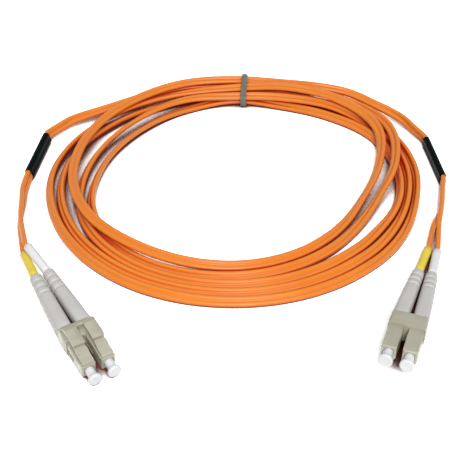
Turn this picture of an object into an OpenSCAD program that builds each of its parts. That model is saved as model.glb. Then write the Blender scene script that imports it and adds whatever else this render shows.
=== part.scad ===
// Duplex fibre optic patch cord: two-leg zip cord coiled and tied, a duplex plug at each end.
// Millimetres. Z = 0 is the surface the cord lies on.

/* [Cable] */
// outer diameter of one leg of the zip cord
leg_d = 1.8; // [1.6:0.1:1.9]
// width across both legs of the zip cord
zip_w = 3.7; // [3.5:0.1:3.8]
// length of the heat-shrink where the legs split
shrink_len = 24.2; // [20:0.2:27]
// wall of the heat-shrink
shrink_wall = 0.27; // [0.2:0.01:0.4]
// width of the tie band
tie_w = 2.3; // [1.5:0.1:4]
// thickness of the tie band
tie_t = 0.45; // [0.3:0.05:1]

/* [Plug] */
// distance between the two plug axes
pitch = 6.25; // [6.15:0.01:6.35]
// square section of the plug nose
nose_w = 4.5; // [4.4:0.01:4.6]
// nose from its front face to the clip
nose_len = 10.6; // [9:0.1:12]
// ferrule diameter
ferrule_d = 1.25; // [1.24:0.001:1.26]
// ferrule beyond the nose front face
ferrule_out = 1.9; // [1.5:0.1:2.2]
// how far the ferrule can be pushed back
ferrule_travel = 1.2; // [0.5:0.1:1.5]

/* [Clip] */
// length of the duplex clip along the plugs
clip_len = 5.7; // [4:0.1:8]
// wall of the duplex clip beside the noses
clip_side = 0.25; // [0.2:0.05:0.7]
// wall of the duplex clip over and under the noses
clip_top = 0.85; // [0.6:0.05:1.1]
// clearance of the nose in the clip, each side
clip_fit = 0.05; // [0.01:0.01:0.1]

/* [Boot and sleeves] */
// length of the strain-relief boot
boot_len = 25.8; // [22:0.1:30]
// width of the boot at its front
boot_front_d = 5.0; // [4.8:0.1:5.4]
// outer diameter of the boot at its rear
boot_rear_d = 4.0; // [3.6:0.05:4.3]
// inward lean of each boot
toe_in = 2.2; // [0:0.1:2.3]
// length of the ID sleeve
id_len = 12.5; // [8:0.5:16]
// wall of the ID sleeve
id_wall = 0.5; // [0.2:0.02:0.54]

/* [Dust cap] */
// outer diameter of the cap's tube
cap_d = 2.9; // [2.6:0.1:3.0]
// diameter of the cap's flared end
cap_flare_d = 4.3; // [3.5:0.1:4.4]

/* [Hidden] */
$fn = 48;
leg_r = leg_d / 2;
half_pitch = pitch / 2;
half_zip = (zip_w - leg_d) / 2;
clip_w = pitch + nose_w + 2 * (clip_fit + clip_side);
clip_h = nose_w + 2 * (clip_fit + clip_top);

// moves the plan so that the middle of the two plugs is over the origin
shift = [-2.05, 48.67];

// ---- vector helpers ----
function unit(v) = v / norm(v);
function out_of(t) = unit([-t[1], t[0], 0]);
function at(list, i) = list[max(0, min(len(list) - 1, i))];

// smooth interpolation of a table of values at uneven stations
function station(xs, x, i = 0) =
    (i >= len(xs) - 2 || x < xs[i + 1]) ? i : station(xs, x, i + 1);
function slope(xs, ys, i) =
    (at(ys, i + 1) - at(ys, i - 1)) / (at(xs, i + 1) - at(xs, i - 1));
function smooth(xs, ys, x) =
    let (i = station(xs, x),
         h = xs[i + 1] - xs[i],
         t = (x - xs[i]) / h)
    ys[i] * (1 + 2 * t) * pow(1 - t, 2)
    + slope(xs, ys, i) * h * t * pow(1 - t, 2)
    + ys[i + 1] * t * t * (3 - 2 * t)
    - slope(xs, ys, i + 1) * h * t * t * (1 - t);

// ---- coil ----
// angles run clockwise from the back of the coil
coil_x = 2;
coil_y = 24;
loops = 5;
rings_per_loop = 24;
step = 360 / rings_per_loop;
tie_at = 4;
coil_from = -7.5;
coil_to = 360 * loops + 15;

// six passes lie in two layers of three at the tie
tie_lean = 20;
tie_r = 58.6;
tie_z = 5.7;
lane_pitch = zip_w + 0.5;
layer_gap = leg_d + 0.5;
slot_side = [1, 1, 0, 0, -1, -1];
slot_low = [0, 1, 0, 1, 0, 1];
function slot_r(n) =
    tie_r + slot_side[n - 1] * lane_pitch * cos(tie_lean)
    + slot_low[n - 1] * layer_gap * sin(tie_lean);
function slot_z(n) =
    tie_z + slot_side[n - 1] * lane_pitch * sin(tie_lean)
    - slot_low[n - 1] * layer_gap * cos(tie_lean);

// how high the middle of the zip cord sits when it rests on the floor
function floor_z(a) = leg_r + half_zip * abs(sin(a));

// slot that each loop starts from
loop_from = [2, 6, 5, 4, 3];

// lanes of each loop: radius, lift off the floor, lean, at these angles
lane_at = [20, 40, 60, 80, 100, 120, 140, 180, 220, 250, 280, 310, 340];
lane_r = [
    [64.8, 66.5, 67.3, 60.1, 52.0, 48.6, 48.3, 50.0, 52.5, 52.4, 49.8, 49.7, 53.3],
    [55.6, 58.0, 61.0, 60.5, 58.9, 55.5, 54.0, 54.1, 55.9, 56.3, 54.4, 54.0, 55.6],
    [56.6, 61.7, 64.2, 63.8, 61.7, 59.6, 58.2, 57.9, 59.8, 61.6, 62.8, 60.8, 59.8],
    [60.7, 63.4, 67.4, 67.0, 64.7, 63.7, 62.5, 61.8, 63.4, 65.2, 67.0, 64.3, 60.4],
    [59.3, 62.8, 62.6, 54.0, 46.7, 43.9, 43.5, 45.7, 50.2, 55.5, 59.3, 62.4, 63.4]];
lane_lift = [
    [3.4, 3.9, 4.1, 3.6, 1.4, 0.2, 0.0, 0.0, 0.0, 0.0, 0.0, 0.0, 0.0],
    [0.1, 0.0, 0.0, 0.0, 0.2, 0.3, 0.2, 0.1, 0.1, 0.1, 0.5, 1.6, 3.2],
    [3.4, 2.6, 0.3, 0.0, 0.0, 0.0, 0.0, 0.0, 0.0, 0.0, 0.0, 0.0, 0.0],
    [2.5, 0.8, 0.1, 0.0, 0.0, 0.0, 0.0, 0.0, 0.0, 0.0, 0.1, 1.0, 3.2],
    [6.9, 6.2, 4.6, 2.4, 0.6, 0.0, 0.0, 0.9, 3.3, 4.2, 4.1, 4.7, 5.8]];
lean_outer = [28, 42, 54, 60, 54, 15, -18, -32, -40, -48, -55, -45, -5];
lean_first = [22, 24, 28, 40, 46, 15, -16, -32, -40, -48, -55, -45, -5];
lean_last = [22, 24, 28, 40, 46, 15, -16, -32, -30, -15, -5, 5, 15];
lane_lean = [lean_first, lean_outer, lean_outer, lean_outer, lean_last];

// where the leads leave the bundle: angle, radius, height, lean
lead_a_polar = [
    [-62.0, 75.9, 2.6, 62], [-56.8, 74.3, 2.7, 40], [-45.7, 69.1, 3.0, 20],
    [-34, 65.9, 3.9, 20], [-21, 64.6, 4.9, 20]];
lead_b_polar = [
    [30, 65.2, 7.9, 20], [40, 70.9, 6.3, 20], [50, 73.3, 5.0, 28], [55.2, 75.3, 4.1, 40],
    [59.4, 76.6, 3.4, 56], [63.8, 77.0, 2.8, 76]];

// stations along the whole cord, lead to lead
way_at = [
    for (p = lead_a_polar) p[0],
    -8,
    for (k = [0:loops - 1]) each [360 * k, for (s = lane_at) 360 * k + s],
    360 * loops,
    360 * loops + 16,
    for (p = lead_b_polar) 360 * loops + p[0]];
way_r = [
    for (p = lead_a_polar) p[1],
    slot_r(2),
    for (k = [0:loops - 1]) each [slot_r(loop_from[k]), for (r = lane_r[k]) r],
    slot_r(1),
    slot_r(1) + 0.4,
    for (p = lead_b_polar) p[1]];
way_lean = [
    for (p = lead_a_polar) p[3],
    tie_lean,
    for (k = [0:loops - 1]) each [tie_lean, for (a = lane_lean[k]) a],
    tie_lean,
    tie_lean,
    for (p = lead_b_polar) p[3]];
way_lift = [
    for (p = lead_a_polar) p[2] - floor_z(p[3]),
    slot_z(2) - floor_z(tie_lean),
    for (k = [0:loops - 1]) each
        [slot_z(loop_from[k]) - floor_z(tie_lean), for (h = lane_lift[k]) h],
    slot_z(1) - floor_z(tie_lean),
    slot_z(1) - floor_z(tie_lean),
    for (p = lead_b_polar) p[2] - floor_z(p[3])];

function way_point(a) =
    let (r = smooth(way_at, way_r, a),
         lean = smooth(way_at, way_lean, a),
         z = floor_z(lean) + max(0, smooth(way_at, way_lift, a)))
    [coil_x + shift[0] + r * sin(a), coil_y + shift[1] + r * cos(a), z];
function way_dir(a) = unit(way_point(a + 0.5) - way_point(a - 0.5));
function way_side(a) =
    let (t = way_dir(a),
         o = out_of(t),
         u = cross(t, o),
         lean = smooth(way_at, way_lean, a))
    o * cos(lean) + u * sin(lean);

// ---- swept tubes ----
// a ring is a middle point, a side direction and a normal direction
function ring_points(c, w, n, shape) = [for (s = shape) c + w * s[0] + n * s[1]];
function tube_faces(rings, m) = concat(
    [for (i = [0:rings - 2], j = [0:m - 1])
        [i * m + j, i * m + (j + 1) % m, (i + 1) * m + j]],
    [for (i = [0:rings - 2], j = [0:m - 1])
        [i * m + (j + 1) % m, (i + 1) * m + (j + 1) % m, (i + 1) * m + j]],
    [for (j = [1:m - 2]) [0, j + 1, j]],
    [for (j = [1:m - 2])
        [(rings - 1) * m, (rings - 1) * m + j, (rings - 1) * m + j + 1]]);
module skin(rings, m) {
    points = [for (r = rings) each r];
    polyhedron(points = points, faces = tube_faces(len(rings), m), convexity = 10);
}
// round section, counter-clockwise seen along the sweep
function round_shape(r, m) = [for (j = [0:m - 1])
    [r * cos(-360 * (j + 0.5) / m), r * sin(-360 * (j + 0.5) / m)]];
// flat sections of the zip cord
zip_six = [
    [zip_w / 2, 0], [half_zip, -leg_r], [-half_zip, -leg_r],
    [-zip_w / 2, 0], [-half_zip, leg_r], [half_zip, leg_r]];
zip_eight = [
    [zip_w / 2, -leg_r * 0.42], [half_zip * 1.4, -leg_r * 0.95], [-half_zip * 1.4, -leg_r * 0.95],
    [-zip_w / 2, -leg_r * 0.42], [-zip_w / 2, leg_r * 0.42], [-half_zip * 1.4, leg_r * 0.95],
    [half_zip * 1.4, leg_r * 0.95], [zip_w / 2, leg_r * 0.42]];

function coil_ring(a, shape) =
    let (w = way_side(a))
    ring_points(way_point(a), w, cross(way_dir(a), w), shape);
coil_angles = [coil_from, for (a = [0:step:360 * loops]) a, coil_to];

// least gap of the coil to itself, leg to leg, half a loop or more apart
function leg_at(a, s) = way_point(a) + way_side(a) * half_zip * s;
function to_segment(p, a, b) =
    let (d = b - a, t = max(0, min(1, ((p - a) * d) / (d * d))))
    norm(p - a - d * t);
coil_legs = [for (s = [-1, 1]) [for (a = coil_angles) leg_at(a, s)]];
coil_gap = min([
    for (i = [0:len(coil_angles) - 1], p = [0, 1])
    let (near = [
        for (j = [i + 12:len(coil_angles) - 2], q = [0, 1])
        if (norm(coil_legs[p][i] - coil_legs[q][j]) < 22)
        to_segment(coil_legs[p][i], coil_legs[q][j], coil_legs[q][j + 1])])
    if (len(near) > 0) min(near)]) - leg_d;
echo(coil_gap = coil_gap, rings = len(coil_angles));

module coil() {
    color([0.90, 0.49, 0.17])
        skin([for (a = coil_angles) coil_ring(a, zip_six)], 6);
}

// ---- heat-shrinks ----
// each heat-shrink: its end on the lead, its heading, its roll on to its edge
shrink_room = 0.08;
shrink_z = half_zip + 2 * shrink_room + leg_r + shrink_wall + 0.05;
shrink_a_from = [-69.6, 52.5, shrink_z];
shrink_a_heading = -97.8;
shrink_a_roll = 70;
shrink_b_from = [75.0, 49.8, shrink_z];
shrink_b_heading = -84;
shrink_b_roll = 90;
function ahead(p, heading, d) = p + d * [cos(heading), sin(heading), 0];
shrink_a_to = ahead(shrink_a_from, shrink_a_heading, shrink_len);
shrink_b_to = ahead(shrink_b_from, shrink_b_heading, shrink_len);
function placed(p) = [p[0] + shift[0], p[1] + shift[1], p[2]];
function mix(a, b, t) = a + (b - a) * t;

// curve through points, with straight ends
function knot(p, i) =
    i < 0 ? 2 * p[0] - p[1]
    : i > len(p) - 1 ? 2 * p[len(p) - 1] - p[len(p) - 2]
    : p[i];
function bend(p, i, t) =
    let (a = knot(p, i - 1), b = knot(p, i), c = knot(p, i + 1), d = knot(p, i + 2))
    0.5 * (2 * b + (c - a) * t + (2 * a - 5 * b + 4 * c - d) * t * t
        + (3 * b - a - 3 * c + d) * t * t * t);
function curve(p, n) = concat(
    [for (i = [0:len(p) - 2], k = [0:n - 1]) bend(p, i, k / n)],
    [p[len(p) - 1]]);
function dir_at(c, i) = unit(at(c, i + 1) - at(c, i - 1));

// leads: from the coil's end face to the middle of the heat-shrink
function lead_line(from, mid_from, mid_to, polar, base) =
    concat(
        [way_point(from)],
        [for (p = polar) way_point(base + p[0])],
        [placed(mix(mid_from, mid_to, -0.09)), placed(mid_from), placed(mix(mid_from, mid_to, 0.49))]);
lead_a_out = [for (i = [len(lead_a_polar) - 1:-1:0]) lead_a_polar[i]];
lead_a_knots = lead_line(coil_from, shrink_a_from, shrink_a_to,
    lead_a_out, 0);
lead_b_knots = lead_line(coil_to, shrink_b_from, shrink_b_to,
    lead_b_polar, 360 * loops);
function lead_leans(polar, roll) = concat([tie_lean], [for (p = polar) p[3]], [roll, roll, roll]);
lead_a_lean = lead_leans(lead_a_out, shrink_a_roll);
lead_b_lean = lead_leans(lead_b_polar, shrink_b_roll);
function lead_rings(knots, leans, from, sign) =
    let (c = curve(knots, 4),
         l = curve(leans, 4))
    [for (i = [0:len(c) - 1])
        let (t = i == 0 ? way_dir(from) * sign : dir_at(c, i),
             o = out_of(t) * sign,
             u = cross(t, o) * sign,
             w = o * cos(l[i]) + u * sin(l[i]))
        ring_points(c[i], w, cross(t, w), zip_eight)];
module lead_a() {
    color([0.90, 0.49, 0.17])
        skin(lead_rings(lead_a_knots, lead_a_lean, coil_from, -1), 8);
}
module lead_b() {
    color([0.90, 0.49, 0.17])
        skin(lead_rings(lead_b_knots, lead_b_lean, coil_to, 1), 8);
}

// flat oval outline: two circles and the bar between them
module oval(half, r) {
    translate([half, 0]) circle(r);
    translate([-half, 0]) circle(r);
    square([2 * half, 2 * r], center = true);
}
module shrink_tube(from, heading, roll) {
    inner = leg_r + shrink_room;
    color([0.05, 0.05, 0.06])
        translate(placed(from))
        rotate([0, 0, heading])
        rotate([90, 0, 90])
        rotate(roll)
        linear_extrude(height = shrink_len)
        difference() {
            oval(half_zip + shrink_room, inner + shrink_wall);
            oval(half_zip + shrink_room, inner);
        }
}
module heat_shrink_a() {
    shrink_tube(shrink_a_from, shrink_a_heading, -shrink_a_roll);
}
module heat_shrink_b() {
    shrink_tube(shrink_b_from, shrink_b_heading, shrink_b_roll);
}

// ---- tie ----
// the bundle's middle at the tie, against the middle of the slots
tie_mid = [-0.3, 0.35];
tie_room = 0.35;
tie_round = 1.2;
module tie() {
    mid_r = tie_r + layer_gap / 2 * sin(tie_lean);
    mid_z = tie_z - layer_gap / 2 * cos(tie_lean);
    half_w = lane_pitch + zip_w / 2 + tie_room;
    half_h = layer_gap / 2 + leg_r + 0.3 + tie_room;
    color([0.47, 0.49, 0.42])
        translate([coil_x + shift[0], coil_y + shift[1], 0])
        rotate([0, 0, -tie_at])
        translate([0, mid_r, mid_z])
        rotate([tie_lean, 0, 0])
        translate([0, tie_mid[0], tie_mid[1]])
        rotate([90, 0, 90])
        linear_extrude(height = tie_w, center = true)
        difference() {
            rounded(2 * (half_w + tie_t), 2 * (half_h + tie_t), tie_round + tie_t);
            rounded(2 * half_w, 2 * half_h, tie_round);
        }
}
// rectangle with round corners
module rounded(w, h, r) {
    square([w - 2 * r, h], center = true);
    square([w, h - 2 * r], center = true);
    for (sx = [-1, 1], sy = [-1, 1])
        translate([sx * (w / 2 - r), sy * (h / 2 - r)]) circle(r);
}

// ---- where each duplex plug lies ----
// position of the nose front, heading, pitch and roll
plug_a_at = [-38.0, -66.2, 2.55];
plug_a_turn = [0, 4.1, -59.2];
plug_b_at = [49.3, -65.9, 7.0];
plug_b_turn = [180, -6.0, -109.5];
module in_plug(e) {
    translate(placed(e == 0 ? plug_a_at : plug_b_at))
        rotate(e == 0 ? plug_a_turn : plug_b_turn)
        children();
}
function turn(p, r) =
    let (a = [p[0], p[1] * cos(r[0]) - p[2] * sin(r[0]), p[1] * sin(r[0]) + p[2] * cos(r[0])],
         b = [a[0] * cos(r[1]) + a[2] * sin(r[1]), a[1], a[2] * cos(r[1]) - a[0] * sin(r[1])])
    [b[0] * cos(r[2]) - b[1] * sin(r[2]), b[0] * sin(r[2]) + b[1] * cos(r[2]), b[2]];
function plug_point(e, p) =
    placed(e == 0 ? plug_a_at : plug_b_at) + turn(p, e == 0 ? plug_a_turn : plug_b_turn);

// lengths along the plug, from the nose front face, backwards
clip_rear = nose_len + clip_len;
band_front = clip_rear - 4.1;
body_rear = clip_rear - 0.3;
boot_front = clip_rear + 0.2;
boot_rear = boot_front + boot_len;
crimp_front = body_rear + 1.2;
toe_x = body_rear + 2.5;
fibre_end = body_rear + 3;
tail_end = body_rear + 4.5;
leg_end = body_rear + 4.7;
crimp_rear = body_rear + 7;
boot_off = half_pitch - (boot_rear - toe_x) * tan(toe_in);

// ---- plug housing ----
cap_seat = 2.4;
stop_front = cap_seat + 0.6;
stop_rear = stop_front + 0.7;
stop_r = ferrule_d / 2 + 0.055;
flange_front = stop_rear + 0.1;
flange_rear = flange_front + 1.5;
flange_r = 1.35;
tail_rear = flange_rear + 2.9;
tail_r = 0.7;
ferrule_seat = flange_front + 0.8;
chamber_r = flange_r + 0.15;
rear_r = 1.8;
rear_front = tail_rear + ferrule_travel + 2.1;
latch_x = 1.05;
latch_z = nose_w / 2 + 0.05;
latch_pin_r = 0.45;
latch_groove_r = latch_pin_r + 0.05;
cap_r = cap_d / 2;
nose_bore_r = cap_r + 0.1;
chamfer = 0.35;
side_slot = [5.2, 1, 1.6];

// a round bar along the plug between two distances behind the nose front
module along(from, to, r) {
    translate([-to, 0, 0]) rotate([0, 90, 0]) cylinder(h = to - from, r = r);
}
module at_side(s) {
    translate([0, s * half_pitch, 0]) children();
}
module housing_one() {
    difference() {
        union() {
            translate([-body_rear, -nose_w / 2, -nose_w / 2])
                cube([body_rear - chamfer, nose_w, nose_w]);
            translate([-chamfer, 0, 0])
                rotate([90, 0, 90])
                linear_extrude(height = chamfer, scale = 1 - 2 * chamfer / nose_w)
                square([nose_w, nose_w], center = true);
        }
        along(-1, stop_front, nose_bore_r);
        along(stop_front - 1, stop_rear + 1, stop_r);
        along(stop_rear, rear_front + 0.1, chamber_r);
        along(rear_front, body_rear + 1, rear_r);
        translate([-latch_x, 0, latch_z])
            rotate([90, 0, 0])
            cylinder(h = nose_w + 1, r = latch_groove_r, center = true);
        for (s = [-1, 1])
            translate([2 - nose_len, s * (nose_w / 2 + 0.2), -0.9])
            cube(side_slot, center = true);
    }
}

// ---- latch arm ----
// distances behind the nose front and heights over the latch pin's plane
latch_rise = 9;
latch_wide = 3.7;
latch_tail = 3.4;
latch_back = nose_len - 2;
latch_start = 1.75;
latch_lift = 0.2;
latch_t = 0.86;
wing_front = 3.6;
wing_rear = 5.4;
wing_t = 0.35;
function latch_under(x) = latch_z + latch_lift + (x - latch_start) * tan(latch_rise);
function latch_over(x) = latch_under(x) + latch_t;
module latch_profile(to) {
    polygon([
        [-0.4, latch_z], [-0.42, latch_z + 0.4], [-1.1, latch_z + 1.02], [-1.7, latch_over(1.7)],
        [-to, latch_over(to)], [-to, latch_under(to)],
        [-latch_start, latch_under(latch_start)], [-latch_start + 0.3, latch_z]]);
}
module lying(w) {
    rotate([90, 0, 0]) linear_extrude(height = w, center = true) children();
}
module latch_one() {
    color([0.70, 0.67, 0.58])
    union() {
        translate([-latch_x, 0, latch_z])
            rotate([90, 0, 0])
            cylinder(h = latch_wide, r = latch_pin_r, center = true);
        lying(latch_tail) latch_profile(latch_back);
        lying(latch_wide) latch_profile(wing_rear);
        lying(latch_wide)
            polygon([
                [-wing_front, latch_over(wing_front) - 0.2],
                [-wing_front, latch_over(wing_front) + 0.02],
                [-wing_front - 0.5, latch_over(wing_front) + wing_t + 0.1],
                [-wing_rear, latch_over(wing_rear) + wing_t - 0.1],
                [-wing_rear, latch_over(wing_rear) - 0.2]]);
    }
}

// ---- duplex clip and its trigger ----
trigger_x = clip_rear - 1.1;
trigger_z = clip_h / 2 + 0.35;
trigger_pin_r = 0.5;
trigger_groove_r = trigger_pin_r + 0.05;
finger_w = 3.9;
module clip_one() {
    hole = nose_w + 2 * clip_fit;
    color([0.70, 0.67, 0.58])
    difference() {
        union() {
            translate([-clip_rear, 0, 0])
                rotate([90, 0, 90])
                linear_extrude(height = clip_len)
                rounded(clip_w, clip_h, 1.1);
            translate([-clip_rear, 0, 0])
                rotate([90, 0, 90])
                linear_extrude(height = clip_rear - band_front)
                rounded(clip_w + 0.1, clip_h + 0.4, 1.2);
        }
        for (s = [-1, 1])
            at_side(s)
            translate([-clip_rear - 1, -hole / 2, -hole / 2])
            cube([clip_len + 2, hole, hole]);
        translate([-trigger_x, 0, trigger_z])
            rotate([90, 0, 0])
            cylinder(h = clip_w - 0.4, r = trigger_groove_r, center = true);
    }
}
// side views of the trigger: points from its pin, forwards and up
trigger_heel = [[-0.42, 0.12], [-0.3, 0.65], [0.3, 1.0], [0.6, 1.45]];
finger_top = [[2.6, 2.05], [3.0, 1.85], [6.4, 1.95], [7.6, 1.9], [8.5, 1.72], [8.8, 1.4]];
finger_under = [[8.75, 0.95], [6.4, 1.3], [3.4, 1.1], [0.7, 0.25], [0.45, 0.12]];
bridge_top = [[1.6, 1.7], [1.9, 1.5]];
bridge_under = [[1.9, 0.66], [0.7, 0.25], [0.45, 0.12]];
module from_pin(points) {
    polygon([for (p = points) [p[0] - trigger_x, p[1] + trigger_z]]);
}
module trigger_one() {
    color([0.70, 0.67, 0.58])
    union() {
        translate([-trigger_x, 0, trigger_z])
            rotate([90, 0, 0])
            cylinder(h = clip_w - 0.8, r = trigger_pin_r, center = true);
        for (s = [-1, 1])
            at_side(s) lying(finger_w) from_pin(concat(trigger_heel, finger_top, finger_under));
        lying(clip_w - 2) from_pin(concat(trigger_heel, bridge_top, bridge_under));
    }
}

// ---- inner pieces ----
tip_edge = 0.15;
module ferrule_one() {
    color([0.95, 0.95, 0.93])
    union() {
        along(-ferrule_out + tip_edge, ferrule_seat, ferrule_d / 2);
        translate([ferrule_out - tip_edge, 0, 0])
            rotate([0, 90, 0])
            cylinder(h = tip_edge, r1 = ferrule_d / 2, r2 = ferrule_d / 2 - tip_edge);
    }
}
module flange_one() {
    color([0.75, 0.72, 0.62])
    difference() {
        union() {
            along(flange_front, flange_rear, flange_r);
            along(flange_rear - 0.1, tail_rear, tail_r);
        }
        along(flange_front - 1, ferrule_seat + 0.05, ferrule_d / 2 + 0.01);
        along(ferrule_seat, tail_rear + 1, fibre_r + 0.02);
    }
}
fibre_r = 0.45;
module fibre_one() {
    color([0.93, 0.93, 0.90]) along(ferrule_seat + 0.1, fibre_end, fibre_r);
}
// spring: one wire wound by formula
spring_from = flange_rear + 0.1;
spring_to = rear_front - 0.1;
spring_wire = 0.3;
spring_turns = 7;
spring_r = tail_r + 0.125 + spring_wire / 2;
function coil_of(t) =
    [-spring_from - spring_wire / 2 - t * (spring_to - spring_from - spring_wire),
     spring_r * cos(360 * spring_turns * t), spring_r * sin(360 * spring_turns * t)];
module spring_one() {
    n = 8 * spring_turns;
    color([0.75, 0.76, 0.78])
        skin([for (i = [0:n])
            let (t = i / n, c = coil_of(t), o = unit([0, c[1], c[2]]), x = [-1, 0, 0])
            ring_points(c, o, x, round_shape(spring_wire / 2, 6))], 6);
}
collar_r = 2;
crimp_seat_r = 1.3;
crimp_r = 1.75;
module rear_body_one() {
    color([0.72, 0.73, 0.75])
    difference() {
        union() {
            along(rear_front + 0.1, body_rear + 0.1, rear_r - 0.05);
            along(body_rear + 0.05, body_rear + 1, collar_r);
            along(body_rear + 0.9, tail_end, crimp_seat_r);
        }
        along(rear_front - 1, tail_end + 1, fibre_r + 0.1);
    }
}
module crimp_one() {
    color([0.74, 0.74, 0.76])
    toed()
    difference() {
        along(crimp_front, crimp_rear, crimp_r);
        along(crimp_front - 1, tail_end + 0.1, crimp_seat_r + 0.16);
        along(tail_end, crimp_rear + 1, leg_r + 0.08);
    }
}

// ---- boot ----
// leans toward the middle, about a point behind the clip
module toed() {
    translate([-toe_x, 0, 0]) children_lean() translate([toe_x, 0, 0]) children();
}
module children_lean() {
    rotate([0, 0, $side * toe_in]) children();
}
// ring grooves: distance of each from the boot's rear, width, depth
boot_grooves = [8.8, 6.0, 3.2];
groove_w = 0.9;
groove_deep = 0.2;
groove_edge = 0.08;
function boot_half(x) =
    (boot_front_d - (boot_front_d - boot_rear_d) * pow(x / boot_len, 1.5)) / 2;
// distance from the boot's front and depth under its plain shape
boot_stations = concat(
    [for (t = [0, 0.16, 0.35, 0.52]) [t * boot_len, 0]],
    [for (g = boot_grooves) each
        let (a = boot_len - g - groove_w / 2, b = a + groove_w)
        [[a, 0], [a + groove_edge, groove_deep], [b - groove_edge, groove_deep], [b, 0]]],
    [[boot_len - 0.12, 0], [boot_len, 0.12]]);
function squircle(a, b, n, j, m) =
    let (t = 360 * (j + 0.5) / m, c = cos(t), s = sin(t),
         k = pow(pow(abs(c), n) + pow(abs(s), n), -1 / n))
    [a * k * c, b * k * s];
function boot_ring(s, m) = [for (j = [0:m - 1])
    let (r = boot_half(s[0]) - s[1],
         p = squircle(r, r, 3.4 - 1.4 * s[0] / boot_len, j, m))
    [-boot_front - s[0], p[0], p[1]]];
module boot_one() {
    color([0.76, 0.75, 0.75])
    toed()
    difference() {
        skin([for (s = boot_stations) boot_ring(s, 24)], 24);
        along(boot_front - 1, crimp_front, collar_r + 0.2);
        along(crimp_front - 0.1, crimp_rear + 0.2, crimp_r + 0.2);
        along(crimp_rear, boot_rear + 1, leg_r + 0.12);
    }
}

// ---- dust cap ----
cap_neck = ferrule_out + 1.4;
cap_edge = 0.3;
module cap_one() {
    color([0.93, 0.94, 0.95])
    difference() {
        union() {
            along(-cap_neck, cap_seat, cap_r);
            along(-cap_neck - 0.8, 0.1 - cap_neck, cap_flare_d / 2);
            translate([cap_neck + 0.8, 0, 0])
                rotate([0, 90, 0])
                cylinder(h = cap_edge, r1 = cap_flare_d / 2, r2 = cap_flare_d / 2 - cap_edge);
        }
        along(-ferrule_out - 0.3, cap_seat + 1, ferrule_d / 2 + 0.02);
    }
}

// ---- single legs and their ID sleeves ----
// inside the boot a leg is straight, behind it the two legs draw together
sleeve_gap = 0.5;
sleeve_room = 0.1;
// from each boot's rear towards the far end of its sleeve, channel 1 then channel 2
sleeve_way = [
    [[-12.4, -1.5, 1.5], [-12.4, 1.3, -1.3]],
    [[-12.5, -0.6, -0.9], [-12.5, 0.6, -0.9]]];
function sleeve_dir(e, s) = unit(sleeve_way[e][s > 0 ? 0 : 1]);
function leg_line(e, s) =
    let (inner = [-leg_end, s * (half_pitch - (leg_end - toe_x) * tan(toe_in)), 0],
         rear = [-boot_rear, s * boot_off, 0],
         q = [for (d = [sleeve_gap, sleeve_gap + id_len, sleeve_gap + id_len + 1.8])
             rear + sleeve_dir(e, s) * d])
    [for (p = [inner, mix(inner, rear, 0.5), rear, q[0], mix(q[0], q[1], 0.5), q[1], q[2]])
        plug_point(e, p)];
// middle line of the twist between the sleeves and the heat-shrink: point, half spread, turn
twist_a = [
    [-70.6, -4.0, 5.3, 1.05, 108], [-71.7, 3.5, 4.3, 1.0, 92], [-72.4, 11.1, 3.4, 1.0, 74],
    [-73.3, 19.4, 2.5, 1.0, 64]];
twist_b = [
    [71.2, -0.1, 2.2, 1.1, 140], [73.7, 6.8, 2.3, 1.0, 98], [75.5, 13.9, 2.3, 1.0, 82],
    [76.7, 20.3, 2.3, 1.0, 86]];
function leg_rings(e, s) =
    let (g = e == 0 ? -s : s,
         a = leg_line(e, s),
         b = leg_line(e, -s),
         last = (a[6] + b[6]) / 2,
         twist = e == 0 ? twist_a : twist_b,
         from = e == 0 ? shrink_a_to : shrink_b_to,
         to = e == 0 ? shrink_a_from : shrink_b_from,
         roll = e == 0 ? shrink_a_roll : 180 - shrink_b_roll,
         spread = half_zip + 0.05,
         t0 = unit(placed(twist[0]) - last),
         o0 = out_of(t0),
         w0 = (last - a[6]) * g,
         turn0 = (atan2(w0 * cross(t0, o0), w0 * o0) + 360) % 360,
         mids = concat(
             [concat(last, [norm(a[6] - b[6]) / 2, turn0])],
             [for (p = twist) concat(placed(p), [p[3], p[4]])],
             [for (k = [0, 0.49]) concat(placed(mix(from, to, k)), [spread, roll])]),
         c = curve(mids, 3),
         m = [for (p = c) [p[0], p[1], p[2]]],
         free = [for (i = [1:len(c) - 1])
             let (t = dir_at(m, i), o = out_of(t), u = cross(t, o))
             m[i] - (o * cos(c[i][4]) + u * sin(c[i][4])) * c[i][3] * g])
    concat(a, free);
function leg_ring(c, i, r) =
    let (t = dir_at(c, i), o = out_of(t))
    ring_points(c[i], o, cross(t, o), round_shape(r, 8));
module leg_one(e, s) {
    c = leg_rings(e, s);
    color([0.90, 0.49, 0.17])
        skin([for (i = [0:len(c) - 1]) leg_ring(c, i, leg_r)], 8);
}
module sleeve_one(e, s, tint) {
    rear = [-boot_rear, s * boot_off, 0];
    d = sleeve_dir(e, s);
    color(tint)
        in_plug(e)
        translate(rear)
        rotate([0, asin(d[2]), atan2(-d[1], -d[0])])
        difference() {
            along(sleeve_gap, sleeve_gap + id_len, leg_r + sleeve_room + id_wall);
            along(sleeve_gap - 1, sleeve_gap + id_len + 1, leg_r + sleeve_room);
        }
}

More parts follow.
